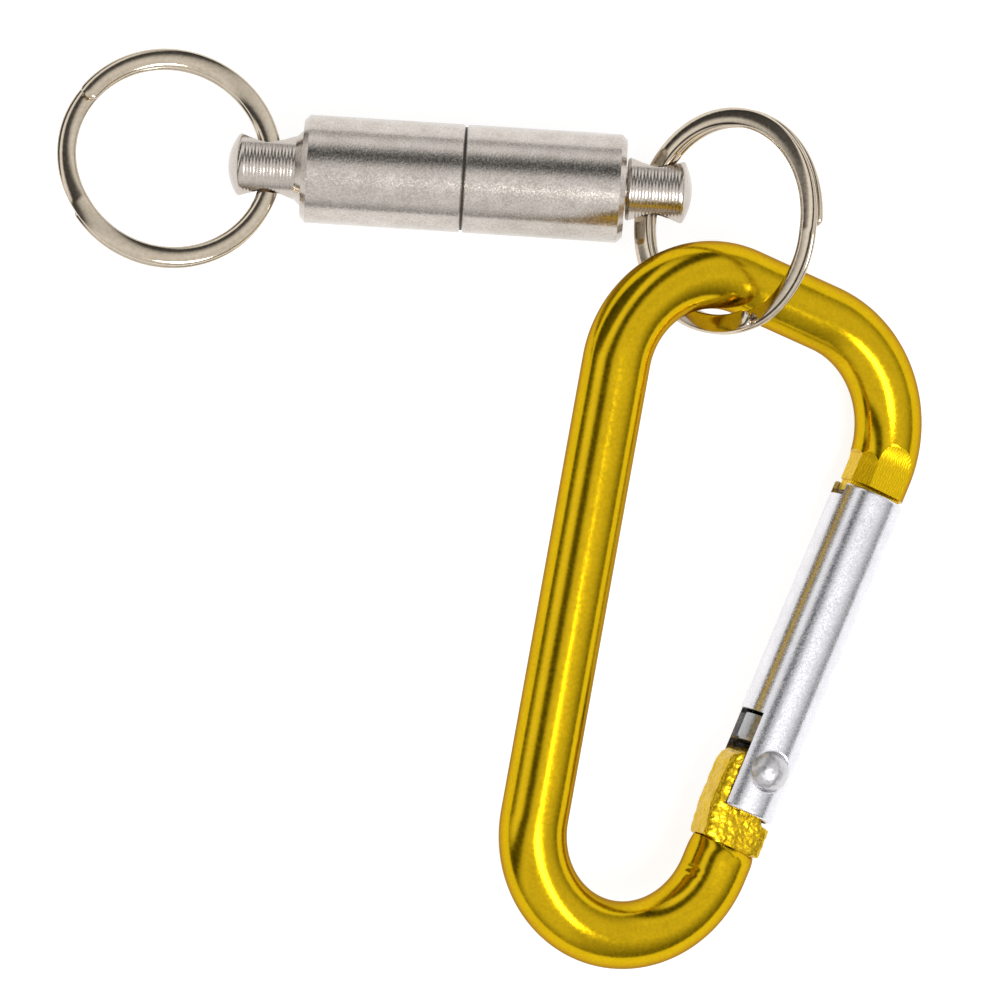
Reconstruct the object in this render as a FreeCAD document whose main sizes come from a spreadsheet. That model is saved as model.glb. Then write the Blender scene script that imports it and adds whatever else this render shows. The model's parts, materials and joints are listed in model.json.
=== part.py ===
import FreeCAD, Part
import math
import os
import re

import Sketcher

# Magnetic quick-release key holder: a two-part magnetic coupling with a split ring in each
# cross-drilled stud, one ring free for keys and the other linked to a small D-carabiner.
# Millimetres, +Z up, lying on z = 0 with the origin under the middle of its bounding box.

Vector = FreeCAD.Vector
Rotation = FreeCAD.Rotation
Placement = FreeCAD.Placement

DIMENSIONS = {
    # magnetic coupling
    "sleeve_dia": 12.0, "sleeve_length": 17.72, "sleeve_chamfer": 0.6, "face_chamfer": 0.15,
    "pocket_dia": 10.0, "pocket_depth": 6.0, "face_recess": 0.05,
    "magnet_dia": 8.6, "disc_thickness": 0.26, "disc_dia": 11.4,
    "shank_dia": 5.0, "shank_depth": 9.0, "shank_chamfer": 0.4,
    "neck_dia": 7.05, "hole_dia": 4.8, "hole_flare": 0.7, "flare_overcut": 0.2,
    "stud_a_neck": 7.0, "stud_a_dome": 1.2, "stud_a_hole": 3.95, "stud_a_cone": 0.8, "stud_a_cone_rise": 0.75,
    "stud_b_neck": 6.45, "stud_b_dome": 1.0, "stud_b_hole": 3.5, "stud_b_gap": 0.18, "stud_b_corner": 0.4,
    # split rings
    "ring_dia": 25.0, "ring_width": 2.15, "turn_thickness": 0.95, "turn_gap": 0.05, "edge_break": 0.28,
    "ramp_angle": 60.0, "end_clearance": 3.0,
    # carabiner frame, measured from the gate pivot
    "rod_dia": 7.5, "bottom_bend": 11.5, "bottom_drop": 12.19, "spine_lean": 13.87, "top_bend": 11.4,
    "bar_rise": 1.79, "nose_bend": 12.89, "nose_bend_height": 35.58,
    "nose_end": 33.45, "nose_flat": 6.2, "nose_flat_length": 5.0, "nose_inner_flat": 3.45,
    "nose_inner_step": 0.8, "tongue_root": 0.5,
    "tongue_width": 6.4, "tongue_depth": 1.25, "tongue_thickness": 2.3,
    "finger_width": 5.3, "finger_depth": 3.0,
    "tang_thickness": 5.0, "tang_reach": 4.3, "tang_top": 0.6, "lobe_radius": 2.2,
    "shoulder_drop": 5.65, "tang_foot": 9.3, "tang_edge": 0.7,
    # gate, rivet, plunger and spring
    "gate_dia": 8.1, "gate_top": 33.0, "gate_bottom": 5.2, "gate_bore": 6.8, "gate_bore_end": 19.5,
    "hinge_slot": 5.4, "hinge_slot_end": 5.7, "nose_bore_depth": 3.9, "nose_slot": 2.8,
    "nose_slot_inner": 1.5, "nose_slot_outer": 3.6, "gate_corner": 0.35,
    "rivet_dia": 2.6, "rivet_head": 4.6, "rivet_dome": 1.45, "spotface": 4.9, "spotface_level": 3.65,
    "pin_clearance": 0.05,
    "plunger_dia": 6.6, "plunger_clearance": 0.15, "plunger_height": 3.0, "plunger_stem": 2.6,
    "plunger_stem_height": 3.0, "plunger_chamfer": 0.3,
    "spring_dia": 5.6, "spring_wire": 0.6, "spring_turns": 6.0, "spring_clearance": 0.1,
    # how far a cutting outline runs past the surface it opens
    "overcut": 1.0,
}

# Resting arrangement on the floor.
COUPLING_CENTRE = Vector(-4.02, 35.28, 6.86)
COUPLING_TURN = -3.65
PIVOT = Vector(28.21, -29.89, 7.72)
SPINE_TURN = -10.2
CARABINER_TILT = 25.0
RING_A_TILT = 9.5
RING_A_LEAN = -15.3
RING_A_SWING = -0.6
RING_A_SHIFT = Vector(0.56, 0, 0)
RING_A_JOG = 180.0
RING_B_TILT = -38.8
RING_B_LEAN = -2.5
RING_B_SWING = -15.6
RING_B_SHIFT = Vector(-0.58, 0, 0)
RING_B_JOG = -18.0
BOX_CENTRE = Vector(-1.16, -1.05, 0.08)

TOUCHING = 1e-6  # mm: closer than this is the same place
LEAST_CUT = 1e-3  # mm3: a cut that takes less is a mistake

doc = FreeCAD.newDocument("magnetic_key_release")
sheet = doc.addObject("Spreadsheet::Sheet", "Sheet")
for row, (alias, value) in enumerate(DIMENSIONS.items(), start=1):
    sheet.set(f"A{row}", alias)
    sheet.set(f"B{row}", str(value))
    sheet.setAlias(f"B{row}", alias)
doc.recompute()
parts = []


def bound(expression):
    """The expression with the sheet's name before each of its aliases."""
    return re.sub(r"[a-z_]+", lambda m: f"Sheet.{m[0]}" if m[0] in DIMENSIONS else m[0], expression)


def number(expression):
    """What an expression in the sheet's aliases comes to."""
    return float(sheet.evalExpression(expression))


def new_body(label):
    body = doc.addObject("PartDesign::Body", label)
    body.Label = label
    parts.append(body)
    return body


def sketch_on(body, role, name, offset="0"):
    """Sketch on one of the body's own origin planes, shifted along the plane's normal."""
    sketch = body.newObject("Sketcher::SketchObject", name)
    plane = next(f for f in body.Origin.OriginFeatures if f.Role == role)
    sketch.AttachmentSupport = [(plane, "")]
    sketch.MapMode = "FlatFace"
    sketch.setExpression(".AttachmentOffset.Base.z", bound(offset))
    return sketch


def pin_point(sketch, geometry, point, x, y):
    """Hold a sketch point at x, y, both expressions in the sheet's aliases."""
    for kind, axis, expression in (("DistanceX", -2, x), ("DistanceY", -1, y)):
        distance = number(expression)
        if abs(distance) < TOUCHING:
            sketch.addConstraint(Sketcher.Constraint("PointOnObject", geometry, point, axis))
            continue
        index = sketch.addConstraint(Sketcher.Constraint(kind, -1, 1, geometry, point, distance))
        sketch.setExpression(f"Constraints[{index}]", bound(expression))


def arc_between(start, end, radius):
    """Arc from start to end; a positive radius turns left (counter-clockwise)."""
    chord = end - start
    height = math.sqrt(max(radius * radius - chord.Length**2 / 4, 0))
    side = Vector(-chord.y, chord.x, 0).normalize()
    centre = start + chord * 0.5 + side * math.copysign(height, radius)
    angles = [math.atan2(p.y - centre.y, p.x - centre.x) for p in (start, end)]
    if radius < 0:
        angles.reverse()
    return Part.ArcOfCircle(Part.Circle(centre, Vector(0, 0, 1), abs(radius)), *angles)


def outline(sketch, corners):
    """Closed outline through corners (x, y) or (x, y, radius of the arc that leaves it)."""
    points = [Vector(number(c[0]), number(c[1]), 0) for c in corners]
    count = len(corners)
    ends = []
    for i, corner in enumerate(corners):
        start, end = points[i], points[(i + 1) % count]
        if len(corner) == 2:
            index = sketch.addGeometry(Part.LineSegment(start, end))
            ends.append((index, 1, 2))
            continue
        radius = number(corner[2])
        index = sketch.addGeometry(arc_between(start, end, radius))
        ends.append((index, 1, 2) if radius > 0 else (index, 2, 1))
        rule = sketch.addConstraint(Sketcher.Constraint("Radius", index, abs(radius)))
        sketch.setExpression(f"Constraints[{rule}]", bound(f"abs({corner[2]})"))
    for i in range(count):
        geometry, _, last = ends[i]
        following, first, _ = ends[(i + 1) % count]
        sketch.addConstraint(Sketcher.Constraint("Coincident", geometry, last, following, first))
        pin_point(sketch, following, first, *corners[(i + 1) % count][:2])


def circle(sketch, diameter, x="0", y="0"):
    centre = Vector(number(x), number(y), 0)
    index = sketch.addGeometry(Part.Circle(centre, Vector(0, 0, 1), number(diameter) / 2))
    pin_point(sketch, index, 3, x, y)
    rule = sketch.addConstraint(Sketcher.Constraint("Diameter", index, number(diameter)))
    sketch.setExpression(f"Constraints[{rule}]", bound(diameter))


def rectangle(sketch, x_low, y_low, x_high, y_high):
    outline(sketch, [(x_low, y_low), (x_high, y_low), (x_high, y_high), (x_low, y_high)])


def pad(body, name, sketch, length, midplane=False, reverse=False):
    feature = body.newObject("PartDesign::Pad", name)
    feature.Profile = sketch
    feature.Midplane = midplane
    feature.Reversed = reverse
    feature.setExpression("Length", bound(length))
    return feature


def pocket(body, name, sketch, length=None, midplane=False, reverse=False):
    """Cut the sketch out, through everything when no length is given."""
    feature = body.newObject("PartDesign::Pocket", name)
    feature.Profile = sketch
    feature.Midplane = midplane
    feature.Reversed = reverse
    if length is None:
        feature.Type = 1
    else:
        feature.setExpression("Length", bound(length))
    check_cut(body, feature)
    return feature


def turned(body, name, sketch, kind="PartDesign::Revolution", axis="V_Axis"):
    feature = body.newObject(kind, name)
    feature.Profile = sketch
    feature.ReferenceAxis = (sketch, [axis])
    feature.Angle = 360.0
    if kind == "PartDesign::Groove":
        check_cut(body, feature)
    return feature


def check_cut(body, feature):
    """A cut must take something away."""
    before = feature.BaseFeature.Shape.Volume if feature.BaseFeature else None
    doc.recompute()
    if before is None or feature.Shape.Volume > before - LEAST_CUT:
        raise RuntimeError(f"{body.Label}.{feature.Name} cuts nothing")


# ---------------------------------------------------------------------------------------------
# Magnetic coupling. Each half is drawn with its axis along +Y, the parting face at y = 0.


def sleeve(label):
    """Steel cup: magnet pocket in the parting face, stud hole in the closed end."""
    body = new_body(label)
    profile = sketch_on(body, "XY_Plane", label + "_profile")
    face = "disc_thickness / 2"
    end = "(disc_thickness / 2 + sleeve_length)"
    outline(profile, [
        ("pocket_dia / 2", face),
        ("sleeve_dia / 2 - face_chamfer", face),
        ("sleeve_dia / 2", f"{face} + face_chamfer"),
        ("sleeve_dia / 2", f"{end} - sleeve_chamfer"),
        ("sleeve_dia / 2 - sleeve_chamfer", end),
        ("shank_dia / 2", end),
        ("shank_dia / 2", f"{face} + pocket_depth"),
        ("pocket_dia / 2", f"{face} + pocket_depth"),
    ])
    turned(body, label + "_turned", profile)
    return body


def stud_profile(label, dome, neck, root):
    """Profile of a stud along +Y, from the shank's end to the tip of its dome."""
    body = new_body(label)
    profile = sketch_on(body, "XY_Plane", label + "_profile")
    end = "(disc_thickness / 2 + sleeve_length)"
    radius = f"(({dome})^2 + (neck_dia / 2)^2) / (2 * {dome})"
    outline(profile, [
        ("0", f"{end} - shank_depth"),
        ("shank_dia / 2 - shank_chamfer", f"{end} - shank_depth"),
        ("shank_dia / 2", f"{end} - shank_depth + shank_chamfer"),
        *root(end),
        ("neck_dia / 2", f"{end} + {neck}", radius),
        ("0", f"{end} + {neck} + {dome}"),
    ])
    turned(body, label + "_turned", profile)
    return body


def drill_stud(body, label, height):
    """Cross hole for the split ring, with both mouths flared."""
    doc.recompute()
    drill = sketch_on(body, "YZ_Plane", label + "_drill")
    circle(drill, "hole_dia", height, "0")
    pocket(body, label + "_hole", drill, midplane=True)
    flare = sketch_on(body, "XY_Plane", label + "_flare")
    radius = "hole_dia / 2"
    outline(flare, [
        ("neck_dia / 2 + flare_overcut", height),
        ("neck_dia / 2 + flare_overcut", f"{height} + {radius} + hole_flare + flare_overcut"),
        ("neck_dia / 2 - hole_flare", f"{height} + {radius}"),
        ("neck_dia / 2 - hole_flare", height),
    ])
    level = number(height)
    line = flare.addGeometry(Part.LineSegment(Vector(0, level, 0), Vector(number("neck_dia"), level, 0)), True)
    flare.addConstraint(Sketcher.Constraint("Horizontal", line))
    pin_point(flare, line, 1, "0", height)
    cut = body.newObject("PartDesign::Groove", label + "_mouth")
    cut.Profile = flare
    cut.ReferenceAxis = (flare, ["Axis0"])
    cut.Angle = 360.0
    check_cut(body, cut)
    mirror = body.newObject("PartDesign::Mirrored", label + "_mouths")
    mirror.Originals = [cut]
    mirror.MirrorPlane = (next(f for f in body.Origin.OriginFeatures if f.Role == "YZ_Plane"), [""])
    body.Tip = mirror


def stud_a():
    """Left stud: its neck meets the sleeve in a small cone."""
    def root(end):
        return [
            ("shank_dia / 2", end),
            ("neck_dia / 2 + stud_a_cone_rise", end),
            ("neck_dia / 2", f"{end} + stud_a_cone"),
        ]
    body = stud_profile("eye_stud_a", "stud_a_dome", "stud_a_neck", root)
    drill_stud(body, "eye_stud_a", "(disc_thickness / 2 + sleeve_length + stud_a_hole)")
    return body


def stud_b():
    """Right stud: its rounded shoulder stands a thin gap off the sleeve."""
    def root(end):
        return [
            ("shank_dia / 2", f"{end} + stud_b_gap"),
            ("neck_dia / 2 - stud_b_corner", f"{end} + stud_b_gap", "stud_b_corner"),
            ("neck_dia / 2", f"{end} + stud_b_gap + stud_b_corner"),
        ]
    body = stud_profile("eye_stud_b", "stud_b_dome", "stud_b_neck", root)
    drill_stud(body, "eye_stud_b", "(disc_thickness / 2 + sleeve_length + stud_b_hole)")
    return body


def magnet(label):
    body = new_body(label)
    profile = sketch_on(body, "XZ_Plane", label + "_profile", "0 - disc_thickness / 2 - face_recess")
    circle(profile, "magnet_dia")
    pad(body, label + "_pad", profile, "pocket_depth - face_recess", reverse=True)
    return body


def magnet_bush(label):
    """Ring that centres the magnet in the steel cup and keeps its field off the wall."""
    body = new_body(label)
    profile = sketch_on(body, "XZ_Plane", label + "_profile", "0 - disc_thickness / 2 - face_recess")
    circle(profile, "pocket_dia")
    circle(profile, "magnet_dia")
    pad(body, label + "_pad", profile, "pocket_depth - face_recess", reverse=True)
    return body


def wear_disc():
    body = new_body("wear_disc")
    profile = sketch_on(body, "XZ_Plane", "wear_disc_profile")
    circle(profile, "disc_dia")
    pad(body, "wear_disc_pad", profile, "disc_thickness", midplane=True)
    return body


# ---------------------------------------------------------------------------------------------
# Split rings: two turns of flat wire in the XY plane, joined by a ramp that climbs one turn.


def wire_section(angle, level):
    """Radial wire section with broken edges, at an angle about Z and a height."""
    middle = (number("ring_dia") - number("ring_width")) / 2
    half_width = number("ring_width") / 2
    half_height = number("turn_thickness") / 2
    edge = number("edge_break")
    corners = []
    for sx, sz in ((1, -1), (1, 1), (-1, 1), (-1, -1)):
        near_side = (sx * half_width, sz * (half_height - edge))
        near_face = (sx * (half_width - edge), sz * half_height)
        corners += [near_side, near_face] if sx * sz > 0 else [near_face, near_side]
    points = [Vector(middle + x, 0, level + z) for x, z in corners]
    section = Part.makePolygon(points + points[:1])
    section.rotate(Vector(0, 0, 0), Vector(0, 0, 1), angle)
    return section


def split_ring(label):
    pitch = number("turn_thickness + turn_gap")
    ramp = number("ramp_angle")
    middle = (number("ring_dia") - number("ring_width")) / 2
    axis = Vector(0, 0, 1)
    flat = 360 - ramp - number("end_clearance")
    lower = Part.Face(wire_section(-ramp / 2, -pitch / 2)).revolve(Vector(0, 0, 0), axis, -flat)
    upper = Part.Face(wire_section(ramp / 2, pitch / 2)).revolve(Vector(0, 0, 0), axis, flat)
    helix = Part.makeHelix(pitch * 360 / ramp, pitch, middle)
    helix.rotate(Vector(0, 0, 0), axis, -ramp / 2)
    helix.translate(Vector(0, 0, -pitch / 2))
    sweep = Part.BRepOffsetAPI.MakePipeShell(Part.Wire(helix.Edges))
    sweep.setBiNormalMode(axis)
    sweep.add(wire_section(-ramp / 2, -pitch / 2))
    sweep.build()
    sweep.makeSolid()
    ring = doc.addObject("Part::Feature", label)
    ring.Label = label
    ring.Shape = lower.fuse([sweep.shape(), upper])
    parts.append(ring)
    return ring


# ---------------------------------------------------------------------------------------------
# Carabiner, drawn flat in the XY plane: the gate pivot at the origin, the gate along +Y, the
# spine on the -X side.


def frame_path(sketch):
    """Centreline of the bent rod: straight foot, bottom bend, spine, top bend, bar, nose bend, nose."""
    lean = math.radians(number("spine_lean"))
    rise = math.radians(number("bar_rise"))
    bottom, top, nose = number("bottom_bend"), number("top_bend"), number("nose_bend")
    nose_centre = Vector(-nose, number("nose_bend_height"), 0)
    bottom_centre = Vector(-bottom, -number("bottom_drop"), 0)
    out = Vector(-math.cos(lean), -math.sin(lean), 0)
    along = Vector(-math.sin(lean), math.cos(lean), 0)
    up = Vector(-math.sin(rise), math.cos(rise), 0)
    right = Vector(math.cos(rise), math.sin(rise), 0)
    spine_start = bottom_centre + out * bottom
    bar_end = nose_centre + up * nose
    # the top bend's centre lies its radius inside both the spine and the bar
    base = spine_start - out * top
    reach = ((bar_end - up * top) - base).dot(up) / along.dot(up)
    top_centre = base + along * reach
    spine_end = top_centre + out * top
    bar_start = top_centre + up * top
    axis = Vector(0, 0, 1)
    lean_angle, rise_angle = math.pi + lean, math.pi / 2 + rise
    foot = Vector(0, -number("tang_foot"), 0)
    nose_end = Vector(0, number("nose_end"), 0)
    sketch.addGeometry([
        Part.LineSegment(foot, Vector(0, bottom_centre.y, 0)),
        Part.ArcOfCircle(Part.Circle(bottom_centre, axis, bottom), lean_angle, 2 * math.pi),
        Part.LineSegment(spine_start, spine_end),
        Part.ArcOfCircle(Part.Circle(top_centre, axis, top), rise_angle, lean_angle),
        Part.LineSegment(bar_start, bar_end),
        Part.ArcOfCircle(Part.Circle(nose_centre, axis, nose), 0, rise_angle),
        Part.LineSegment(Vector(0, nose_centre.y, 0), nose_end),
    ])
    for first, first_end, second, second_end in (
        (0, 2, 1, 2), (1, 1, 2, 1), (2, 2, 3, 2), (3, 1, 4, 1), (4, 2, 5, 2), (5, 1, 6, 1),
    ):
        sketch.addConstraint(Sketcher.Constraint("Tangent", first, first_end, second, second_end))
    pin_point(sketch, 0, 1, "0", "0 - tang_foot")
    pin_point(sketch, 6, 2, "0", "nose_end")
    sketch.addConstraint(Sketcher.Constraint("Vertical", 0))
    sketch.addConstraint(Sketcher.Constraint("Vertical", 6))
    for geometry, alias in ((1, "bottom_bend"), (3, "top_bend"), (5, "nose_bend")):
        rule = sketch.addConstraint(Sketcher.Constraint("Radius", geometry, number(alias)))
        sketch.setExpression(f"Constraints[{rule}]", bound(alias))
    for geometry, expression in ((1, "0 - bottom_drop"), (5, "nose_bend_height")):
        rule = sketch.addConstraint(Sketcher.Constraint("DistanceY", -1, 1, geometry, 3, number(expression)))
        sketch.setExpression(f"Constraints[{rule}]", bound(expression))
    for geometry, angle, expression in (
        (2, math.pi / 2 + lean, "(90 + spine_lean) * 1 deg"), (4, rise, "bar_rise * 1 deg"),
    ):
        rule = sketch.addConstraint(Sketcher.Constraint("Angle", geometry, angle))
        sketch.setExpression(f"Constraints[{rule}]", bound(expression))


def carabiner_frame():
    body = new_body("carabiner_frame")
    # pressed hinge tang: a lobe round the rivet, a corner on the inner side that lifts the plunger
    tang = sketch_on(body, "XY_Plane", "tang_outline")
    lobe = number("lobe_radius")
    reach = math.hypot(number("tang_reach"), number("tang_top"))
    corner_angle = math.atan2(number("tang_top"), -number("tang_reach"))
    touch_angle = corner_angle - math.acos(lobe / reach)
    touch = (f"lobe_radius * {math.cos(touch_angle):.6f}", f"lobe_radius * {math.sin(touch_angle):.6f}")
    outline(tang, [
        ("rod_dia / 2", "0 - tang_foot"),
        ("rod_dia / 2", "0 - shoulder_drop"),
        ("lobe_radius", "0 - shoulder_drop"),
        ("lobe_radius", "0", "lobe_radius"),
        touch,
        ("0 - tang_reach", "tang_top"),
        ("0 - tang_reach", "0 - shoulder_drop"),
        ("0 - rod_dia / 2", "0 - tang_foot"),
    ])
    slab = pad(body, "tang_slab", tang, "tang_thickness", midplane=True)
    doc.recompute()
    half = number("tang_thickness") / 2
    rims = [
        f"Edge{i}" for i, edge in enumerate(slab.Shape.Edges, start=1)
        if all(abs(abs(v.Z) - half) < TOUCHING for v in edge.Vertexes)
        and edge.CenterOfMass.x < -lobe and abs(edge.Vertexes[0].Z - edge.Vertexes[-1].Z) < TOUCHING
    ]
    softened = body.newObject("PartDesign::Chamfer", "tang_edges")
    softened.Base = (slab, rims)
    softened.setExpression("Size", bound("tang_edge"))
    doc.recompute()
    path = sketch_on(body, "XY_Plane", "rod_path")
    frame_path(path)
    section = sketch_on(body, "XZ_Plane", "rod_section", "tang_foot")
    circle(section, "rod_dia")
    doc.recompute()
    rod = body.newObject("PartDesign::AdditivePipe", "rod")
    rod.Profile = section
    rod.Spine = path
    doc.recompute()
    # nose: milled flat front and back and on its inner side, with a tongue for the gate's slot
    for side, sign in (("front", ""), ("back", "0 - ")):
        flat = sketch_on(body, "XY_Plane", f"nose_{side}", f"{sign}nose_flat / 2")
        rectangle(flat, "0 - rod_dia", "nose_end - overcut", "rod_dia", "nose_end + nose_flat_length")
        pocket(body, f"nose_{side}_flat", flat, "rod_dia", reverse=(side == "front"))
    inner = sketch_on(body, "XY_Plane", "nose_inner")
    inner_top = "nose_end + nose_flat_length - nose_inner_step"
    rectangle(inner, "0 - rod_dia", "nose_end - overcut", "0 - nose_inner_flat", inner_top)
    pocket(body, "nose_inner_flat_cut", inner, midplane=True)
    tongue = sketch_on(body, "XY_Plane", "tongue_outline")
    outline(tongue, [
        ("tongue_width / 2", "nose_end + tongue_root"),
        ("0 - tongue_width / 2", "nose_end + tongue_root"),
        ("0 - tongue_width / 2", "nose_end - tongue_depth"),
        ("0 - finger_width / 2", "nose_end - tongue_depth"),
        ("0 - finger_width / 2", "nose_end - finger_depth"),
        ("finger_width / 2", "nose_end - finger_depth"),
        ("finger_width / 2", "nose_end - tongue_depth"),
        ("tongue_width / 2", "nose_end - tongue_depth"),
    ])
    pad(body, "tongue", tongue, "tongue_thickness", midplane=True)
    doc.recompute()
    hole = sketch_on(body, "XY_Plane", "rivet_hole")
    circle(hole, "rivet_dia + 2 * pin_clearance")
    pocket(body, "rivet_hole_cut", hole, midplane=True)
    return body


def gate():
    """Drilled rod: slot and bore for the tang, plunger and spring; slotted bore for the tongue."""
    body = new_body("gate")
    profile = sketch_on(body, "XY_Plane", "gate_profile")
    radius = "gate_dia / 2"
    outline(profile, [
        ("0", "0 - gate_bottom"),
        (f"{radius} - gate_corner", "0 - gate_bottom", "gate_corner"),
        (radius, "gate_corner - gate_bottom"),
        (radius, "gate_top - gate_corner", "gate_corner"),
        (f"{radius} - gate_corner", "gate_top"),
        ("0", "gate_top"),
    ])
    turned(body, "gate_turned", profile)
    doc.recompute()
    bores = (
        ("hinge_bore", "0 - gate_bottom - overcut", "gate_bore_end"),
        ("nose_bore", "gate_top - nose_bore_depth", "gate_top + overcut"),
    )
    for name, low, high in bores:
        bore = sketch_on(body, "XY_Plane", name)
        rectangle(bore, "0", low, "gate_bore / 2", high)
        turned(body, name + "_cut", bore, kind="PartDesign::Groove")
    slots = (
        ("hinge_slot_cut", "0 - gate_dia", "0 - gate_bottom - overcut", "0", "hinge_slot_end", "hinge_slot"),
        ("nose_slot_in", "0 - gate_dia", "gate_top - nose_slot_inner", "0", "gate_top + overcut", "nose_slot"),
        ("nose_slot_out", "0", "gate_top - nose_slot_outer", "gate_dia", "gate_top + overcut", "nose_slot"),
    )
    for name, x_low, y_low, x_high, y_high, width in slots:
        slot = sketch_on(body, "XY_Plane", name + "_outline")
        rectangle(slot, x_low, y_low, x_high, y_high)
        pocket(body, name, slot, width, midplane=True)
    hole = sketch_on(body, "XY_Plane", "gate_rivet_hole")
    circle(hole, "rivet_dia")
    pocket(body, "gate_rivet_hole_cut", hole, midplane=True)
    for side, sign in (("front", ""), ("back", "0 - ")):
        face = sketch_on(body, "XY_Plane", f"spotface_{side}", f"{sign}spotface_level")
        circle(face, "spotface")
        pocket(body, f"spotface_{side}_cut", face, "gate_dia", reverse=(side == "front"))
    return body


def gate_rivet():
    """Pin with a domed head on each side, along Z."""
    body = new_body("gate_rivet")
    profile = sketch_on(body, "XZ_Plane", "rivet_profile")
    dome = "((rivet_dome)^2 + (rivet_head / 2)^2) / (2 * rivet_dome)"
    outline(profile, [
        ("0", "0 - spotface_level - rivet_dome", dome),
        ("rivet_head / 2", "0 - spotface_level"),
        ("rivet_dia / 2", "0 - spotface_level"),
        ("rivet_dia / 2", "spotface_level"),
        ("rivet_head / 2", "spotface_level", dome),
        ("0", "spotface_level + rivet_dome"),
    ])
    turned(body, "rivet_turned", profile)
    return body


def gate_plunger():
    """Piston that the spring holds against the tang."""
    body = new_body("gate_plunger")
    profile = sketch_on(body, "XY_Plane", "plunger_profile")
    foot = "(lobe_radius + plunger_clearance)"
    top = f"({foot} + plunger_height)"
    outline(profile, [
        ("0", foot),
        ("plunger_dia / 2 - plunger_chamfer", foot),
        ("plunger_dia / 2", f"{foot} + plunger_chamfer"),
        ("plunger_dia / 2", top),
        ("plunger_stem / 2", top),
        ("plunger_stem / 2", f"{top} + plunger_stem_height"),
        ("0", f"{top} + plunger_stem_height"),
    ])
    turned(body, "plunger_turned", profile)
    return body


def gate_spring():
    """Compression spring between the plunger and the blind end of the gate's bore."""
    start = number("lobe_radius + plunger_clearance + plunger_height")
    length = number("gate_bore_end") - start
    wire = number("spring_wire")
    radius = (number("spring_dia") - wire) / 2
    height = length - wire - number("spring_clearance")
    helix = Part.makeHelix(height / number("spring_turns"), height, radius)
    section = Part.Wire(Part.makeCircle(wire / 2, Vector(radius, 0, 0), Vector(0, 1, 0)))
    coil = Part.Wire(helix.Edges).makePipeShell([section], True, True)
    spring = doc.addObject("Part::Feature", "gate_spring")
    spring.Label = "gate_spring"
    spring.Shape = coil
    spring.Placement = Placement(Vector(0, start + (length - height) / 2, 0), Rotation(Vector(1, 0, 0), -90))
    parts.append(spring)
    return spring


# ---------------------------------------------------------------------------------------------
# Build every piece, then lay it where it rests.


def coupling_place(side):
    """Place of a coupling half; +Y of the half points away from the parting face."""
    turn = Rotation(Vector(0, 0, 1), COUPLING_TURN + (90 if side < 0 else -90))
    return Placement(COUPLING_CENTRE - BOX_CENTRE, turn)


def hole_centre(side, height):
    return coupling_place(side).multVec(Vector(0, number(height), 0))


def ring_place(side, height, tilt, lean, swing, shift, jog):
    """Place of a split ring whose wire runs through a stud's cross hole.

    The ring is drawn about its own centre and its far side points away from the coupling. It is
    slid round by the angle jog, which carries the ramp between its turns along.
    """
    base = Rotation(Vector(0, 0, 1), COUPLING_TURN)
    pose = base * Rotation(Vector(0, 1, 0), tilt) * Rotation(Vector(1, 0, 0), lean)
    pose = pose * Rotation(Vector(0, 0, 1), swing)
    middle = (number("ring_dia") - number("ring_width")) / 2
    to_centre = pose.multVec(Vector(side * middle, 0, 0))
    return Placement(hole_centre(side, height) + base.multVec(shift) + to_centre,
                     pose * Rotation(Vector(0, 0, 1), jog))


def carabiner_place():
    turn = Rotation(Vector(0, 0, 1), SPINE_TURN) * Rotation(Vector(0, 1, 0), CARABINER_TILT)
    turn = turn * Rotation(Vector(0, 0, 1), -number("spine_lean"))
    return Placement(PIVOT - BOX_CENTRE, turn)


left, right = -1, 1
HOLE_A = "disc_thickness / 2 + sleeve_length + stud_a_hole"
HOLE_B = "disc_thickness / 2 + sleeve_length + stud_b_hole"
for side, letter, stud in ((left, "a", stud_a), (right, "b", stud_b)):
    for piece in (sleeve(f"sleeve_{letter}"), stud(), magnet(f"magnet_{letter}"),
                  magnet_bush(f"magnet_bush_{letter}")):
        piece.Placement = coupling_place(side)
wear_disc().Placement = coupling_place(right)
key_ring = split_ring("key_ring")
key_ring.Placement = ring_place(left, HOLE_A, RING_A_TILT, RING_A_LEAN, RING_A_SWING, RING_A_SHIFT, RING_A_JOG)
carabiner_ring = split_ring("carabiner_ring")
carabiner_ring.Placement = ring_place(
    right, HOLE_B, RING_B_TILT, RING_B_LEAN, RING_B_SWING, RING_B_SHIFT, RING_B_JOG)
for make in (carabiner_frame, gate, gate_rivet, gate_plunger, gate_spring):
    piece = make()
    piece.Placement = carabiner_place() * piece.Placement
doc.recompute()

for thing in doc.Objects:
    if {"Invalid", "Error"} & set(thing.State):
        raise RuntimeError(f"{thing.Label} failed: {thing.State}")
for piece in parts:
    if piece.Shape.isNull() or not piece.Shape.isValid() or len(piece.Shape.Solids) != 1:
        raise RuntimeError(f"{piece.Label} isn't one valid solid")

os.makedirs("parts", exist_ok=True)
for piece in parts:
    piece.Shape.exportStep(f"parts/{piece.Label}.step")
    print(f"{piece.Label}: {piece.Shape.Volume:.1f} mm3")
whole = Part.makeCompound([piece.Shape for piece in parts]).BoundBox
print("box", [round(v, 2) for v in (whole.XMin, whole.YMin, whole.ZMin, whole.XMax, whole.YMax, whole.ZMax)])
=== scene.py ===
import json
import math

import bmesh
import bpy
from mathutils import Matrix, Vector, noise


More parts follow.
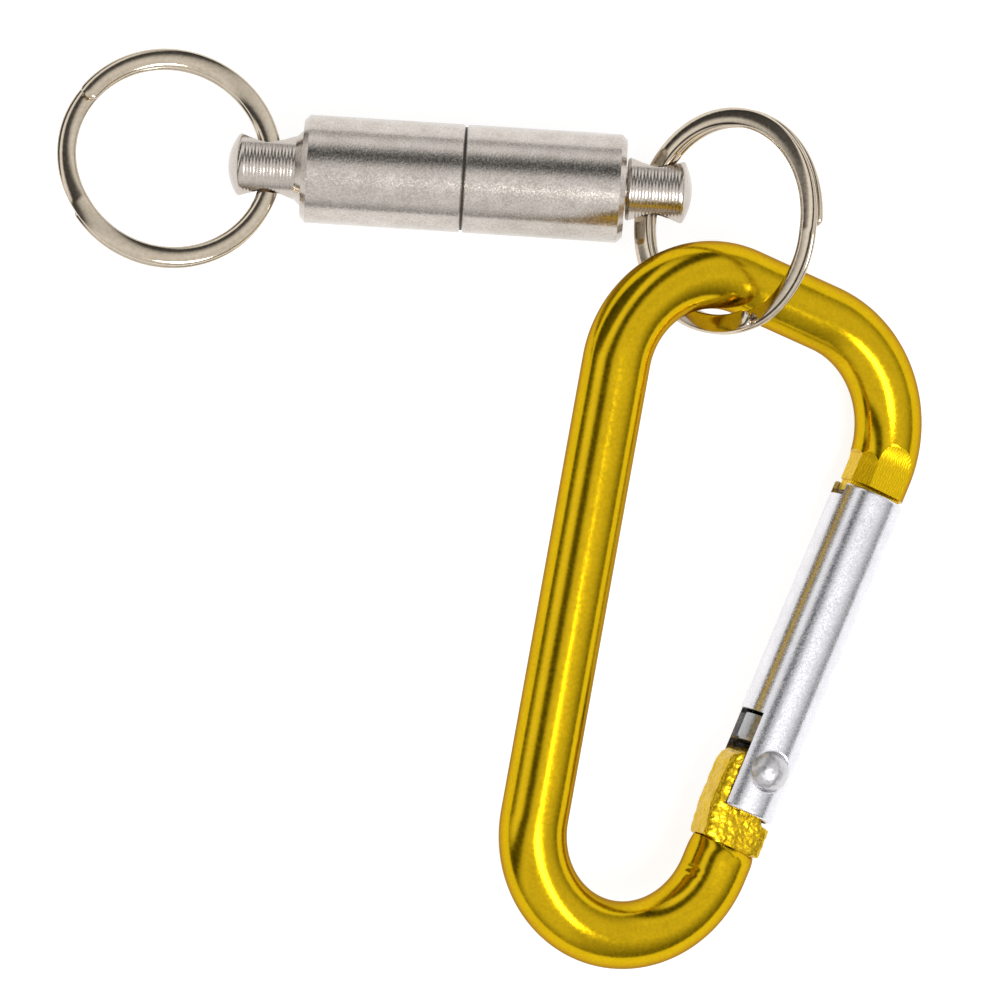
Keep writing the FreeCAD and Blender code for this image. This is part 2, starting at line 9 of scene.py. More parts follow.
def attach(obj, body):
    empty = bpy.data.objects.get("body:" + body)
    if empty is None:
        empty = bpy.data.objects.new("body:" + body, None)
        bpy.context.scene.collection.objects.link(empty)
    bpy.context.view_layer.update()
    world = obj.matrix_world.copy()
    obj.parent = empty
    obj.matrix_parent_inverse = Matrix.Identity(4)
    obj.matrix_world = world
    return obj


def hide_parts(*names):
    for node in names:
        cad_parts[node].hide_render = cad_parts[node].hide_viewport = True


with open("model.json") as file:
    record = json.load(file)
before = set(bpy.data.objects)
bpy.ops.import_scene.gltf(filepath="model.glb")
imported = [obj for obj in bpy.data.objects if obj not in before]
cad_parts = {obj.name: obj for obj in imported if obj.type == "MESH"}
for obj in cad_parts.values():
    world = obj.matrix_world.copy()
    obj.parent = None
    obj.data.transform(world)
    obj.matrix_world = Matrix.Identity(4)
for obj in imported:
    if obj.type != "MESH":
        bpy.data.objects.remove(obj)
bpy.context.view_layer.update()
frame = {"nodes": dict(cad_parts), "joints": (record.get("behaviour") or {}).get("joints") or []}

MM = 0.001
joints = {joint["name"]: joint for joint in frame["joints"]}


# ---------------------------------------------------------------------------------------------
# Places taken from the CAD joints. Pieces are drawn in millimetres in a frame of their own.


def basis(origin, x, y, z):
    """Matrix that carries a drawing in millimetres to a place in the row frame."""
    columns = Matrix((x, y, z)).transposed().to_4x4()
    return Matrix.Translation(origin) @ columns @ Matrix.Scale(MM, 4)


def carabiner_frame_of():
    """Pivot at the origin, +Y along the gate, +Z out of the front."""
    z = Vector(joints["gate_hinge"]["axis"]).normalized()
    y = Vector(joints["plunger_slide"]["axis"]).normalized()
    return basis(Vector(joints["gate_hinge"]["pos_m"]), y.cross(z), y, z)


def stud_frame_of(joint, side):
    """Cross hole at the origin, +Y out through the dome, +X along the hole."""
    along = Vector(joints["coupling_spin"]["axis"]).normalized() * side
    hole = Vector(joints[joint]["axis"]).normalized()
    return basis(Vector(joints[joint]["pos_m"]), hole, along, hole.cross(along))


# radius of the split rings' wire line
RING_MIDDLE = 11.425


def ring_frame_of(joint, side, tilt, lean, swing, shift, jog):
    """Ring centre at the origin, +X towards the jog, +Z along the ring's axis."""
    along = Vector(joints["coupling_spin"]["axis"]).normalized()
    hole = Vector(joints[joint]["axis"]).normalized()
    base = Matrix((along, hole, along.cross(hole))).transposed()
    pose = base.copy()
    for angle, axis in ((tilt, "Y"), (lean, "X"), (swing, "Z")):
        pose = pose @ Matrix.Rotation(math.radians(angle), 3, axis)
    centre = Vector(joints[joint]["pos_m"]) + base @ Vector((shift * MM, 0, 0))
    centre = centre + pose @ Vector((side * RING_MIDDLE * MM, 0, 0))
    turned = pose @ Matrix.Rotation(math.radians(jog), 3, "Z")
    return basis(centre, turned.col[0], turned.col[1], turned.col[2])


CARABINER = carabiner_frame_of()
STUD_A = stud_frame_of("key_ring_swing", -1)
STUD_B = stud_frame_of("stud_b_swing", 1)
KEY_RING = ring_frame_of("key_ring_swing", -1, tilt=9.5, lean=-15.3, swing=-0.6, shift=0.56, jog=180.0)
LINK_RING = ring_frame_of("stud_b_swing", 1, tilt=-38.8, lean=-2.5, swing=-15.6, shift=-0.58, jog=-18.0)


# ---------------------------------------------------------------------------------------------
# Mesh helpers


def new_object(name, verts, faces):
    mesh = bpy.data.meshes.new(name)
    mesh.from_pydata([tuple(v) for v in verts], [], faces)
    mesh.validate()
    thing = bpy.data.objects.new(name, mesh)
    bpy.context.scene.collection.objects.link(thing)
    return thing


def drop(thing):
    """Remove a helper object and its mesh."""
    mesh = thing.data
    bpy.data.objects.remove(thing)
    bpy.data.meshes.remove(mesh)


def face_outwards(thing):
    work = bmesh.new()
    work.from_mesh(thing.data)
    bmesh.ops.recalc_face_normals(work, faces=work.faces)
    work.to_mesh(thing.data)
    work.free()


def lathe(name, profile, segments):
    """Turn (radius, height) points about +Y; a zero radius closes an end."""
    verts, rows = [], []
    for radius, height in profile:
        if radius < 1e-9:
            rows.append([len(verts)])
            verts.append((0, height, 0))
            continue
        rows.append(list(range(len(verts), len(verts) + segments)))
        for i in range(segments):
            a = 2 * math.pi * i / segments
            verts.append((radius * math.cos(a), height, radius * math.sin(a)))
    faces = []
    for low, high in zip(rows, rows[1:]):
        for i in range(segments):
            j = (i + 1) % segments
            if len(low) == 1:
                faces.append((low[0], high[i], high[j]))
            elif len(high) == 1:
                faces.append((low[i], low[j], high[0]))
            else:
                faces.append((low[i], low[j], high[j], high[i]))
    turned = new_object(name, verts, faces)
    face_outwards(turned)
    return turned


def swept(name, stations, section):
    """Skin the section, a list of (across, up), over stations (centre, across, up), with end caps."""
    count = len(section)
    verts = [c + a * u + b * v for c, a, b in stations for u, v in section]
    faces = []
    for k in range(len(stations) - 1):
        for i in range(count):
            j = (i + 1) % count
            faces.append((k * count + i, k * count + j, (k + 1) * count + j, (k + 1) * count + i))
    for row, centre in ((0, stations[0][0]), (len(stations) - 1, stations[-1][0])):
        verts.append(centre)
        for i in range(count):
            faces.append((row * count + i, row * count + (i + 1) % count, len(verts) - 1))
    skin = new_object(name, verts, faces)
    face_outwards(skin)
    return skin


def prism(name, polygon, low, high, axes):
    """Extrude a polygon; axes are the two drawing directions and the extrusion direction."""
    u, v, w = (Vector(axis) for axis in axes)
    verts = [u * a + v * b + w * level for level in (low, high) for a, b in polygon]
    n = len(polygon)
    faces = [tuple(range(n)), tuple(range(n, 2 * n))]
    faces += [(i, (i + 1) % n, n + (i + 1) % n, n + i) for i in range(n)]
    block = new_object(name, verts, faces)
    face_outwards(block)
    return block


def applied(thing):
    """Replace the object's mesh with what its modifiers make of it."""
    bpy.context.view_layer.update()
    graph = bpy.context.evaluated_depsgraph_get()
    mesh = bpy.data.meshes.new_from_object(thing.evaluated_get(graph))
    old = thing.data
    thing.modifiers.clear()
    thing.data = mesh
    bpy.data.meshes.remove(old)


def combine(thing, others, operation):
    """Cut the others from the object or join them to it, then drop them."""
    for other in others:
        rule = thing.modifiers.new("combine", "BOOLEAN")
        rule.operation = operation
        rule.solver = "EXACT"
        rule.object = other
    applied(thing)
    for other in others:
        drop(other)


def settle(thing, place, materials, body, nodes, crease=30):
    """Shade, place and hand over a finished piece."""
    mesh = thing.data
    finishes = [face.material_index for face in mesh.polygons]
    mesh.materials.clear()
    for material in materials:
        mesh.materials.append(material)
    if len(materials) > 1:
        mesh.polygons.foreach_set("material_index", finishes)
    mesh.polygons.foreach_set("use_smooth", [True] * len(mesh.polygons))
    mesh.set_sharp_from_angle(angle=math.radians(crease))
    mesh.transform(place)
    mesh.update()
    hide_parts(*nodes)
    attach(thing, body)


# ---------------------------------------------------------------------------------------------
# Materials


class Nodes:
    """A node material, with short ways to add and join its nodes."""

    def __init__(self, name):
        self.material = bpy.data.materials.new(name)
        self.material.use_nodes = True
        self.tree = self.material.node_tree
        self.shader = self.tree.nodes["Principled BSDF"]

    def add(self, kind, **values):
        node = self.tree.nodes.new(kind)
        for key, value in values.items():
            if key in node.inputs:
                node.inputs[key].default_value = value
            else:
                setattr(node, key, value)
        return node

    def join(self, source, output, target, entry):
        self.tree.links.new(source.outputs[output], target.inputs[entry])

    def coords(self, turn=(0, 0, 0)):
        place = self.add("ShaderNodeTexCoord")
        mapping = self.add("ShaderNodeMapping")
        mapping.inputs["Rotation"].default_value = turn
        self.join(place, "Object", mapping, "Vector")
        return mapping

    def noise(self, mapping, scale):
        texture = self.add("ShaderNodeTexNoise", Scale=scale, Detail=3.0, Roughness=0.55)
        self.join(mapping, "Vector", texture, "Vector")
        return texture

    def ramp(self, source, output, stops):
        ramp = self.add("ShaderNodeValToRGB")
        elements = ramp.color_ramp.elements
        while len(elements) < len(stops):
            elements.new(0.5)
        for element, (position, colour) in zip(elements, stops):
            element.position = position
            element.color = (*colour, 1.0)
        self.join(source, output, ramp, "Fac")
        return ramp

    def bump(self, source, output, distance):
        bump = self.add("ShaderNodeBump", Strength=1.0, Distance=distance)
        self.join(source, output, bump, "Height")
        return bump

    def level(self, source, output, low, high):
        """Map a texture's middle range to a plain number from low to high."""
        spread = self.add("ShaderNodeMapRange")
        spread.inputs["From Min"].default_value = 0.3
        spread.inputs["From Max"].default_value = 0.7
        spread.inputs["To Min"].default_value = low
        spread.inputs["To Max"].default_value = high
        self.join(source, output, spread, "Value")
        return spread


def metal(name, dark, light, roughness, grain, bump, coat=0.0, edge=(1.0, 1.0, 1.0)):
    """Metal whose colour, roughness and fine relief follow one grain.

    roughness is (least, most), grain the texture scale per metre, bump the relief in metres, and
    edge the tint where the surface is seen at a low angle.
    """
    nodes = Nodes(name)
    place = nodes.coords()
    coarse_scale, coarse_share = 0.12, 0.35
    broad = nodes.noise(place, grain * coarse_scale)
    fine = nodes.noise(place, grain)
    tint = nodes.add("ShaderNodeMath", operation="MULTIPLY_ADD")
    tint.inputs[1].default_value = coarse_share
    nodes.join(broad, "Fac", tint, 0)
    shade = nodes.add("ShaderNodeMath", operation="MULTIPLY")
    shade.inputs[1].default_value = 1 - coarse_share
    nodes.join(fine, "Fac", shade, 0)
    nodes.join(shade, "Value", tint, 2)
    colour = nodes.ramp(tint, "Value", ((0.35, dark), (0.65, light)))
    rough = nodes.level(fine, "Fac", *roughness)
    relief = nodes.bump(fine, "Fac", bump)
    nodes.join(colour, "Color", nodes.shader, "Base Color")
    nodes.join(rough, "Result", nodes.shader, "Roughness")
    nodes.join(relief, "Normal", nodes.shader, "Normal")
    nodes.shader.inputs["Metallic"].default_value = 1.0
    nodes.shader.inputs["Specular Tint"].default_value = (*edge, 1.0)
    if coat:
        nodes.shader.inputs["Coat Weight"].default_value = coat
        nodes.shader.inputs["Coat Roughness"].default_value = 0.12
        nodes.shader.inputs["Coat IOR"].default_value = 1.6
    return nodes.material


def plastic(name, dark, light):
    """Matt moulded plastic with a faint grain."""
    nodes = Nodes(name)
    grain = nodes.noise(nodes.coords(), 3000.0)
    colour = nodes.ramp(grain, "Fac", ((0.35, dark), (0.65, light)))
    nodes.join(colour, "Color", nodes.shader, "Base Color")
    nodes.shader.inputs["Roughness"].default_value = 0.55
    return nodes.material


def hatched(name, dark, light, turn):
    """Bare milled face: fine parallel cutter lines, slightly wavy."""
    nodes = Nodes(name)
    place = nodes.coords(turn=turn)
    lines = nodes.add("ShaderNodeTexWave", Scale=1150.0, Distortion=7.0, Detail=2.0)
    lines.inputs["Detail Scale"].default_value = 1.4
    nodes.join(place, "Vector", lines, "Vector")
    colour = nodes.ramp(lines, "Fac", ((0.1, dark), (0.8, light)))
    relief = nodes.bump(lines, "Fac", 0.0000085)
    nodes.join(colour, "Color", nodes.shader, "Base Color")
    nodes.join(relief, "Normal", nodes.shader, "Normal")
    nodes.shader.inputs["Metallic"].default_value = 1.0
    nodes.shader.inputs["Roughness"].default_value = 0.34
    return nodes.material


GOLD = metal("gold_anodised", (0.54, 0.345, 0.003), (0.65, 0.42, 0.004), (0.15, 0.21),
             2600.0, 0.0000050, coat=0.06, edge=(0.42, 0.30, 0.10))
GOLD_ROUGH = metal("gold_hammered", (0.50, 0.31, 0.004), (0.74, 0.49, 0.008), (0.24, 0.38),
                   5000.0, 0.000015, coat=0.15)
GOLD_MILLED = hatched("gold_milled", (0.58, 0.37, 0.005), (0.72, 0.475, 0.008), (0.0, 0.0, 0.5))
NICKEL = metal("nickel_plate", (0.52, 0.44, 0.335), (0.62, 0.54, 0.435), (0.09, 0.14),
               2200.0, 0.0000030)
SLEEVE = metal("stainless_sleeve", (0.44, 0.395, 0.35), (0.64, 0.595, 0.55), (0.15, 0.25),
               4200.0, 0.0000110)
STUD = metal("turned_stainless", (0.48, 0.43, 0.38), (0.60, 0.55, 0.50), (0.16, 0.28),
             4200.0, 0.000002)
GATE = metal("gate_aluminium", (0.64, 0.63, 0.66), (0.82, 0.81, 0.84), (0.20, 0.30),
             4200.0, 0.0000110)
RIVET = metal("rivet_aluminium", (0.50, 0.49, 0.50), (0.66, 0.65, 0.66), (0.30, 0.42),
              2600.0, 0.000004)
STEEL = metal("spring_steel", (0.30, 0.30, 0.31), (0.45, 0.45, 0.46), (0.25, 0.40), 2600.0, 0.000004)
MAGNET = metal("magnet_plate", (0.56, 0.56, 0.57), (0.64, 0.64, 0.65), (0.14, 0.22), 2600.0, 0.000002)
BUSH = plastic("bush_plastic", (0.020, 0.020, 0.020), (0.035, 0.035, 0.035))
SEAM = plastic("seam_plastic", (0.016, 0.014, 0.012), (0.032, 0.028, 0.024))


# ---------------------------------------------------------------------------------------------
# Carabiner frame: bent rod with a milled nose, and a hammered hinge tang

# the rod's radius, then its centre line: bend radii, and places measured from the pivot
ROD = 3.73
BOTTOM_BEND, BOTTOM_DROP, SPINE_LEAN = 11.5, 12.19, math.radians(13.87)
TOP_BEND, BAR_RISE = 11.4, math.radians(1.79)
NOSE_BEND, NOSE_HEIGHT, NOSE_END = 12.89, 35.58, 33.45
# the tang: heights of its foot and shoulder, its reach inwards, its lobe round the pivot, half thickness
TANG_FOOT, SHOULDER = -9.3, -5.65
TANG_REACH, TANG_TOP, LOBE, TANG_HALF = 4.3, 0.6, 2.2, 2.5


def straight(start, end, step):
    """Points and directions from start up to, but not at, end."""
    count = max(1, round((end - start).length / step))
    way = (end - start).normalized()
    return [(start.lerp(end, i / count), way) for i in range(count)]


def bend(centre, radius, start, end, step):
    """Clockwise arc from angle start down to angle end."""
    count = max(2, round(abs(end - start) * radius / step))
    points = []
    for i in range(count):
        a = start + (end - start) * i / count
        points.append((centre + Vector((math.cos(a), math.sin(a), 0)) * radius,
                       Vector((math.sin(a), -math.cos(a), 0))))
    return points


def rod_line():
    """Centre line of the rod, from the tang round to the nose."""
    fine, medium, coarse = 0.2, 0.45, 1.0
    nose_centre = Vector((-NOSE_BEND, NOSE_HEIGHT, 0))
    bottom_centre = Vector((-BOTTOM_BEND, -BOTTOM_DROP, 0))
    out = Vector((-math.cos(SPINE_LEAN), -math.sin(SPINE_LEAN), 0))
    along = Vector((-math.sin(SPINE_LEAN), math.cos(SPINE_LEAN), 0))
    up = Vector((-math.sin(BAR_RISE), math.cos(BAR_RISE), 0))
    spine_start = bottom_centre + out * BOTTOM_BEND
    bar_end = nose_centre + up * NOSE_BEND
    base = spine_start - out * TOP_BEND
    top_centre = base + along * (((bar_end - up * TOP_BEND) - base).dot(up) / along.dot(up))
    spine_end = top_centre + out * TOP_BEND
    bar_start = top_centre + up * TOP_BEND
    foot = Vector((0, TANG_FOOT, 0))
    line = straight(foot, Vector((0, bottom_centre.y, 0)), 0.5)
    line += bend(bottom_centre, BOTTOM_BEND, 0, SPINE_LEAN - math.pi, fine)
    line += straight(spine_start, spine_end, coarse)
    line += bend(top_centre, TOP_BEND, math.pi + SPINE_LEAN, math.pi / 2 + BAR_RISE, medium)
    line += straight(bar_start, bar_end, coarse)
    line += bend(nose_centre, NOSE_BEND, math.pi / 2 + BAR_RISE, 0, medium)
    end = Vector((0, NOSE_END, 0))
    line += straight(Vector((0, NOSE_HEIGHT, 0)), end, 0.4)
    line.append((end, Vector((0, -1, 0))))
    return line


def press_marks(mesh):
    """Two short notches that the bending tool left across the inside of the bottom bend."""
    depth, half_width, half_length, rise = 0.16, 0.26, 0.9, 1.5
    # at that rise the round surface lies a little further out than the rod's innermost line
    reach = BOTTOM_BEND - ROD + 0.3
    for angle in (-5.0, -10.0):
        a = math.radians(angle)
        out = Vector((math.cos(a), math.sin(a), 0))
        way = Vector((-math.sin(a), math.cos(a), 0))
        mark = Vector((-BOTTOM_BEND, -BOTTOM_DROP, rise)) + out * reach
        for vert in mesh.vertices:
            gap = vert.co - mark
            if gap.length < 2.5:
                fade = (gap.dot(way) / half_width) ** 2 + (gap.z / half_length) ** 2
                vert.co += out * depth * math.exp(-fade)


def dip(p):
    """The rod grows thinner front and back where it runs into the flattened tang."""
    depth, run = 0.24, 1.3
    below_tang = p.x > -1 and p.y < TANG_FOOT + 0.1
    near = min(1.0, max(0.0, (TANG_FOOT - p.y) / run)) if below_tang else 1.0
    return 1 - depth * (1 - near) ** 2


def run_out(low, start, end, depth, top):
    """Outline of a cutter that runs level from low to start, then curves up to top at end."""
    steps = 8
    curve = []
    for i in range(steps + 1):
        t = i / steps
        curve.append((start + (end - start) * t, depth + (top - depth) * t ** 2))
    return [(low, depth), *curve, (low, top)]


def carabiner_rod():
    """The gold rod with its milled nose and the tongue that the gate closes on."""
    up = Vector((0, 0, 1))
    stations = [(p, way.cross(up), up * dip(p)) for p, way in rod_line()]
    count = 96
    section = [(ROD * math.cos(2 * math.pi * i / count), ROD * math.sin(2 * math.pi * i / count))
               for i in range(count)]
    rod = swept("carabiner_rod", stations, section)
    press_marks(rod.data)
    # milled flats front and back whose cutter runs out up the bend, a facet and an inner flat
    low, reach, facet_lean = NOSE_END - 1.0, 9.0, math.radians(52)
    cutters = []
    for sign in (1, -1):
        cutters.append(prism("flat", run_out(low, 36.4, 40.2, 3.1, 4.6), -reach, reach,
                             ((0, 1, 0), (0, 0, sign), (1, 0, 0))))
        across = (-math.sin(facet_lean), 0, sign * math.cos(facet_lean))
        along = (math.cos(facet_lean), 0, sign * math.sin(facet_lean))
        cutters.append(prism("facet", run_out(low, 35.6, 38.9, 3.45, 5.4), -reach, reach,
                             ((0, 1, 0), across, along)))
    inner = [(low, 3.4), (36.6, 3.4), (37.6, 5.0), (low, 5.0)]
    cutters.append(prism("inner", inner, -reach, reach, ((0, 1, 0), (-1, 0, 0), (0, 0, 1))))
    combine(rod, cutters, "DIFFERENCE")
    tongue = [(3.2, NOSE_END + 0.5), (-3.2, NOSE_END + 0.5), (-3.2, NOSE_END - 1.25),
              (-2.65, NOSE_END - 1.25), (-2.65, NOSE_END - 3.0), (2.65, NOSE_END - 3.0),
              (2.65, NOSE_END - 1.25), (3.2, NOSE_END - 1.25)]
    lug = prism("tongue", tongue, -1.15, 1.15, ((1, 0, 0), (0, 1, 0), (0, 0, 1)))
    combine(rod, [lug], "UNION")
    # faces that lie below the round surface near the nose are the milled ones
    for face in rod.data.polygons:
        centre = face.center
        bent = Vector((centre.x + NOSE_BEND, centre.y - NOSE_HEIGHT, 0)).length - NOSE_BEND
        across = centre.x if centre.y < NOSE_HEIGHT else bent
        below = math.hypot(across, centre.z) < ROD - 0.03
        face.material_index = 1 if below and NOSE_END - 0.5 < centre.y < 41 and centre.x > -6 else 0
    settle(rod, CARABINER, [GOLD, GOLD_MILLED], "carabiner", ["carabiner_frame"], 24)


def carabiner_tang():
    """The flattened end that carries the rivet, softened and dented as if hammered."""
    count = 14
    turn = math.atan2(TANG_TOP, -TANG_REACH) - math.acos(LOBE / math.hypot(TANG_REACH, TANG_TOP))
    arc = [(LOBE * math.cos(turn * i / count), LOBE * math.sin(turn * i / count)) for i in range(count + 1)]
    # the root is hidden in the rod, so that no groove opens where the foot is softened
    root, deep = 2.4, TANG_FOOT - 1.4
    outline = [(root, deep), (root, TANG_FOOT), (ROD, TANG_FOOT), (ROD, SHOULDER),
               (LOBE, SHOULDER), *arc,
               (-3.3, 0.98), (-3.95, 0.4), (-TANG_REACH, -0.6), (-TANG_REACH, SHOULDER),
               (-ROD, TANG_FOOT), (-root, TANG_FOOT), (-root, deep)]
    tang = prism("carabiner_tang", outline, -TANG_HALF, TANG_HALF, ((1, 0, 0), (0, 1, 0), (0, 0, 1)))
    hole = lathe("hole", [(0, -4), (1.35, -4), (1.35, 4), (0, 4)], 48)
    hole.data.transform(Matrix.Rotation(math.pi / 2, 4, "X"))
    combine(tang, [hole], "DIFFERENCE")
    remesh = tang.modifiers.new("remesh", "REMESH")
    remesh.mode = "VOXEL"
    remesh.voxel_size = 0.11
    soften = tang.modifiers.new("soften", "SMOOTH")
    soften.iterations = 75
    applied(tang)
    # hammering thins the tang smoothly towards both edges
    flat = 1.6
    for vert in tang.data.vertices:
        edge, thinning = (TANG_REACH, 0.5) if vert.co.x < 0 else (ROD, 0.3)
        near = min(1.0, max(0.0, abs(vert.co.x) - flat) / (edge - flat))
        if vert.co.x < 0 or vert.co.y < SHOULDER:
            vert.co.z *= math.sqrt(1 - thinning * near ** 2)
    tang.data.update()
    # normals are read before any vertex moves
    moves = []
    smooth_round_pin = 2.6
    for vert in tang.data.vertices:
        p = vert.co
        dents = noise.fractal(p * 1.3, 1.0, 2.0, 3)
        depth = 0.08 + 0.075 * dents + 0.025 * noise.fractal(p * 4.0, 1.0, 2.0, 2)
        calm = 0.0 if math.hypot(p.x, p.y) < smooth_round_pin else 1.0
        moves.append(vert.normal * (-max(0.0, depth) * calm))
    for vert, move in zip(tang.data.vertices, moves):
        vert.co += move
    settle(tang, CARABINER, [GOLD_ROUGH], "carabiner", ["carabiner_frame"], 60)


carabiner_rod()
carabiner_tang()


# ---------------------------------------------------------------------------------------------
# Rivet: hand-peened domes, a little uneven


def rivet():
    """Pin with a domed head at each end."""
    level, dome, head, pin = 3.65, 1.45, 2.3, 1.3
    ball = (dome**2 + head**2) / (2 * dome)
    profile = []
    steps = 22
    for i in range(steps):
        r = head * i / steps
        profile.append((r, math.sqrt(ball**2 - r**2) - ball + dome + level))
    top = profile + [(head, level), (pin, level)]
    bottom = [(r, -h) for r, h in reversed(top)]
    pinned = lathe("gate_rivet_peened", top + bottom, 72)
    pinned.data.transform(Matrix.Rotation(math.pi / 2, 4, "X"))
    for vert in pinned.data.vertices:
        p = vert.co
        if abs(p.z) > level + 0.05:
            dents = noise.fractal(p * 0.9, 1.0, 2.0, 3)
            vert.co = p * (1 - 0.015 - 0.012 * max(-0.9, dents))
    settle(pinned, CARABINER, [RIVET], "gate", ["gate_rivet"], 40)


rivet()


# ---------------------------------------------------------------------------------------------
# Split rings: one wire of rounded section wound nearly two turns


def split_ring(name, place, body, node):
    """Two flat turns joined by a ramp, with ends that taper off."""
    half_width, half_height, pitch = 1.075, 0.475, 1.0
    ramp, flat = math.radians(60), math.radians(297)
    section = []
    for i in range(28):
        a = 2 * math.pi * i / 28
        c, s = math.cos(a), math.sin(a)
        section.append((half_width * math.copysign(abs(c) ** 0.82, c),
                        half_height * math.copysign(abs(s) ** 0.82, s)))
    stations = []
    start, end = -ramp / 2 - flat, ramp / 2 + flat
    count = 520
    up = Vector((0, 0, 1))
    for i in range(count + 1):
        a = start + (end - start) * i / count
        t = min(1.0, max(0.0, (a + ramp / 2) / ramp))
        rise = pitch * (t - 0.5)
        out = Vector((math.cos(a), math.sin(a), 0))
        near = min(a - start, end - a) / math.radians(4)
        taper = math.sqrt(max(0.0, 1 - (1 - min(1.0, near + 0.12)) ** 2))
        stations.append((out * RING_MIDDLE + up * rise, out * taper, up * taper))
    ring = swept(name, stations, section)
    settle(ring, place, [NICKEL], body, [node], 50)


split_ring("key_split_ring", KEY_RING, "key_ring", "key_ring")
split_ring("link_split_ring", LINK_RING, "link_ring", "carabiner_ring")


# ---------------------------------------------------------------------------------------------
# Eye studs: turned necks with tool lines, cross-drilled

# radii of the neck, of the shank inside the sleeve and of the cross hole, then the hole's flare
NECK, SHANK, HOLE, FLARE = 3.525, 2.5, 2.4, 0.7


def stud(name, place, body, node, root, top, dome, root_profile):
    """Stud drawn about its cross hole; root is the sleeve's end, top where the dome starts."""
    profile = [(0, root - 9.0), (2.1, root - 9.0), (SHANK, root - 8.6), (SHANK, root - 0.6)]
    profile += root_profile
    start, pitch = root_profile[-1][1] + 0.12, 0.09
    lines = int((top - 0.25 - start) / pitch)
    for i in range(lines + 1):
        height = start + pitch * i
        fine = 0.022 * (0.5 + 0.5 * math.sin(height * 17.0))
        broad = 0.010 * (0.5 + 0.5 * math.sin(height * 6.1 + 1))
        profile.append((NECK - (fine + broad), height))
    profile += [(NECK - 0.03, top - 0.12), (NECK - 0.1, top)]
    ball = (dome**2 + NECK**2) / (2 * dome)
    for i in range(1, 26):
        r = (NECK - 0.1) * (1 - i / 25)
        ripple = 0.008 * math.sin(r * 15.0)
        profile.append((r, top + dome - (ball - math.sqrt(ball**2 - r**2)) - abs(ripple)))
    turned = lathe(name, profile, 120)
    mouth = NECK + 0.4
    drill = lathe("drill", [(0, -mouth), (HOLE + FLARE + 0.4, -mouth), (HOLE, FLARE - NECK),
                            (HOLE, NECK - FLARE), (HOLE + FLARE + 0.4, mouth), (0, mouth)], 72)
    drill.data.transform(Matrix.Rotation(-math.pi / 2, 4, "Z"))
    combine(turned, [drill], "DIFFERENCE")
    settle(turned, place, [STUD], body, [node], 28)


stud("eye_stud_a_turned", STUD_A, "coupling_a", "eye_stud_a", -3.95, 3.05, 1.2,
     [(SHANK, -3.95), (NECK + 0.72, -3.93), (NECK + 0.35, -3.55), (NECK - 0.02, -3.16)])
stud("eye_stud_b_turned", STUD_B, "coupling_b", "eye_stud_b", -3.5, 2.95, 1.0,
     [(SHANK, -3.32), (NECK - 0.4, -3.32), (NECK - 0.2, -3.27), (NECK - 0.06, -3.12), (NECK, -2.93)])


# ---------------------------------------------------------------------------------------------
# Finishes of the CAD pieces that stay as they are

FINISHES = {
    "sleeve_a": SLEEVE, "sleeve_b": SLEEVE, "magnet_a": MAGNET, "magnet_b": MAGNET,
    "magnet_bush_a": BUSH, "magnet_bush_b": BUSH, "wear_disc": SEAM, "gate": GATE,
    "gate_plunger": STEEL, "gate_spring": STEEL,
}
for node, finish in FINISHES.items():
    piece = frame["nodes"][node]
    piece.data.materials.clear()
    piece.data.materials.append(finish)


# ---------------------------------------------------------------------------------------------
# Floor, light and camera


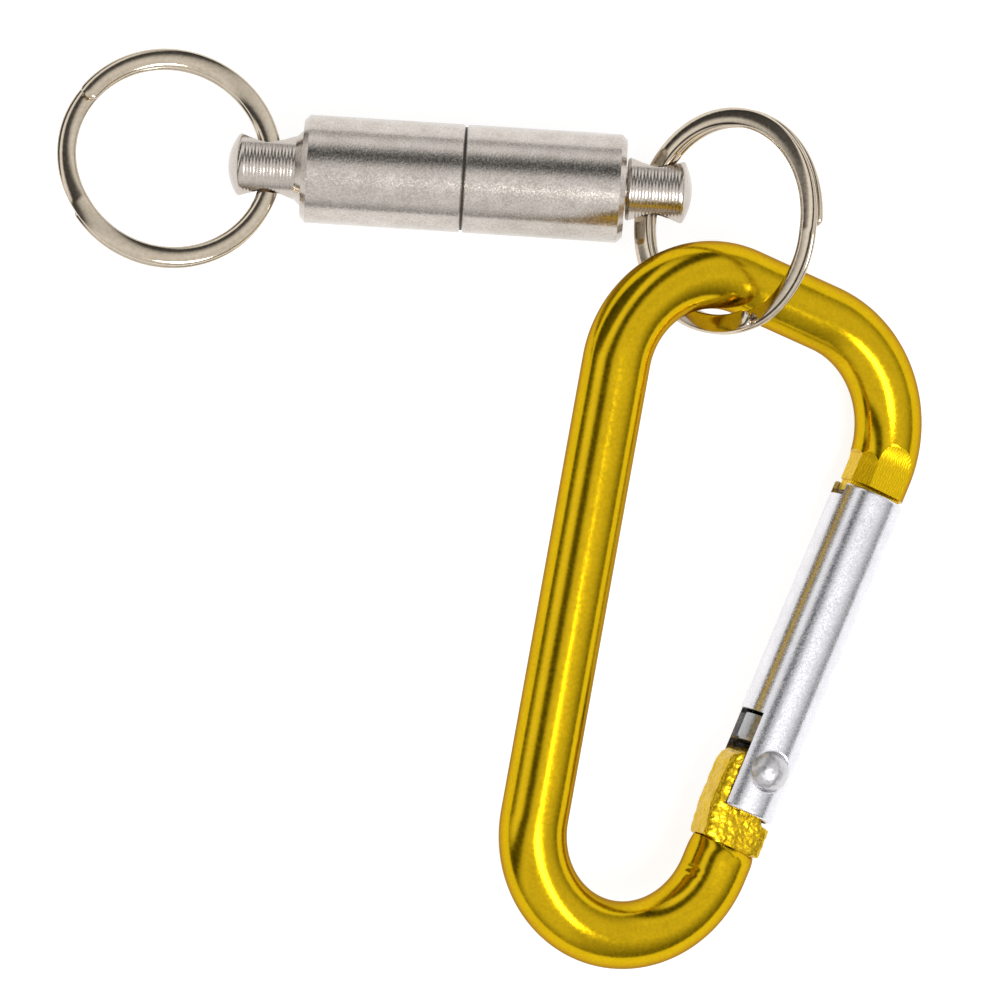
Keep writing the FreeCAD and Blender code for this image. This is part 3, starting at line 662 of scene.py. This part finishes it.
def world_light():
    """Soft white surroundings with two dark strips to the upper left, for metal to mirror."""
    world = bpy.data.worlds.new("studio")
    bpy.context.scene.world = world
    world.use_nodes = True
    tree = world.node_tree
    background = tree.nodes["Background"]
    coords = tree.nodes.new("ShaderNodeTexCoord")
    across = tree.nodes.new("ShaderNodeVectorMath")
    across.operation = "DOT_PRODUCT"
    across.inputs[1].default_value = Vector((-0.7, 0.7, 0.0)).normalized()
    tree.links.new(coords.outputs["Generated"], across.inputs[0])
    spread = tree.nodes.new("ShaderNodeMapRange")
    spread.inputs["From Min"].default_value = -1.0
    spread.inputs["From Max"].default_value = 1.0
    tree.links.new(across.outputs["Value"], spread.inputs["Value"])
    ramp = tree.nodes.new("ShaderNodeValToRGB")
    stops = ((0.0, 0.34), (0.08, 0.55), (0.18, 0.95), (0.42, 0.90), (0.52, 1.05), (0.585, 0.85),
             (0.64, 0.10), (0.74, 0.06), (0.79, 1.20), (0.87, 1.30), (0.905, 0.12), (1.0, 0.10))
    elements = ramp.color_ramp.elements
    while len(elements) < len(stops):
        elements.new(0.5)
    for element, (position, value) in zip(elements, stops):
        element.position = position
        element.color = (value, value, value, 1.0)
    tree.links.new(spread.outputs["Result"], ramp.inputs["Fac"])
    # darker towards the horizon, as in a room with the light overhead
    height = tree.nodes.new("ShaderNodeSeparateXYZ")
    tree.links.new(coords.outputs["Generated"], height.inputs["Vector"])
    horizon = tree.nodes.new("ShaderNodeMapRange")
    horizon.inputs["From Min"].default_value = 0.0
    horizon.inputs["From Max"].default_value = 0.40
    horizon.inputs["To Min"].default_value = 0.32
    horizon.inputs["To Max"].default_value = 1.0
    tree.links.new(height.outputs["Z"], horizon.inputs["Value"])
    shade = tree.nodes.new("ShaderNodeVectorMath")
    shade.operation = "SCALE"
    tree.links.new(ramp.outputs["Color"], shade.inputs[0])
    tree.links.new(horizon.outputs["Result"], shade.inputs["Scale"])
    tree.links.new(shade.outputs["Vector"], background.inputs["Color"])
    background.inputs["Strength"].default_value = 1.0


def area_light(name, place, target, size, power):
    """Rectangular lamp at a place, turned to face the target."""
    data = bpy.data.lights.new(name, "AREA")
    data.shape = "RECTANGLE"
    data.size, data.size_y = size
    data.energy = power
    lamp = bpy.data.objects.new(name, data)
    bpy.context.scene.collection.objects.link(lamp)
    lamp.location = place
    lamp.rotation_euler = (Vector(target) - Vector(place)).to_track_quat("-Z", "Y").to_euler()


def white_floor():
    """Pale even floor, a hair below the part, that lights itself a little."""
    nodes = Nodes("floor_white")
    grain = nodes.noise(nodes.coords(), 30.0)
    colour = nodes.ramp(grain, "Fac", ((0.3, (0.36, 0.36, 0.36)), (0.7, (0.38, 0.38, 0.38))))
    nodes.join(colour, "Color", nodes.shader, "Base Color")
    nodes.shader.inputs["Roughness"].default_value = 0.9
    nodes.shader.inputs["Specular IOR Level"].default_value = 0.1
    nodes.shader.inputs["Emission Color"].default_value = (1.0, 1.0, 1.0, 1.0)
    nodes.shader.inputs["Emission Strength"].default_value = 0.80
    reach = 3.0
    floor = new_object("floor", [(-reach, -reach, 0), (reach, -reach, 0), (reach, reach, 0),
                                 (-reach, reach, 0)], [(0, 1, 2, 3)])
    floor.location.z = -0.0003
    floor.data.materials.append(nodes.material)


white_floor()
world_light()
area_light("key", (0.26, -0.26, 0.62), (0, 0, 0), (0.18, 0.40), 3.0)
bpy.context.scene.view_settings.view_transform = "Standard"

# a long lens straight above the part
camera_data = bpy.data.cameras.new("camera")
camera_data.sensor_width = 36.0
camera_data.lens = 294.5
camera_data.clip_start = 0.05
camera = bpy.data.objects.new("camera", camera_data)
bpy.context.scene.collection.objects.link(camera)
camera.location = (0.00122, 0.00075, 0.912)
bpy.context.scene.camera = camera
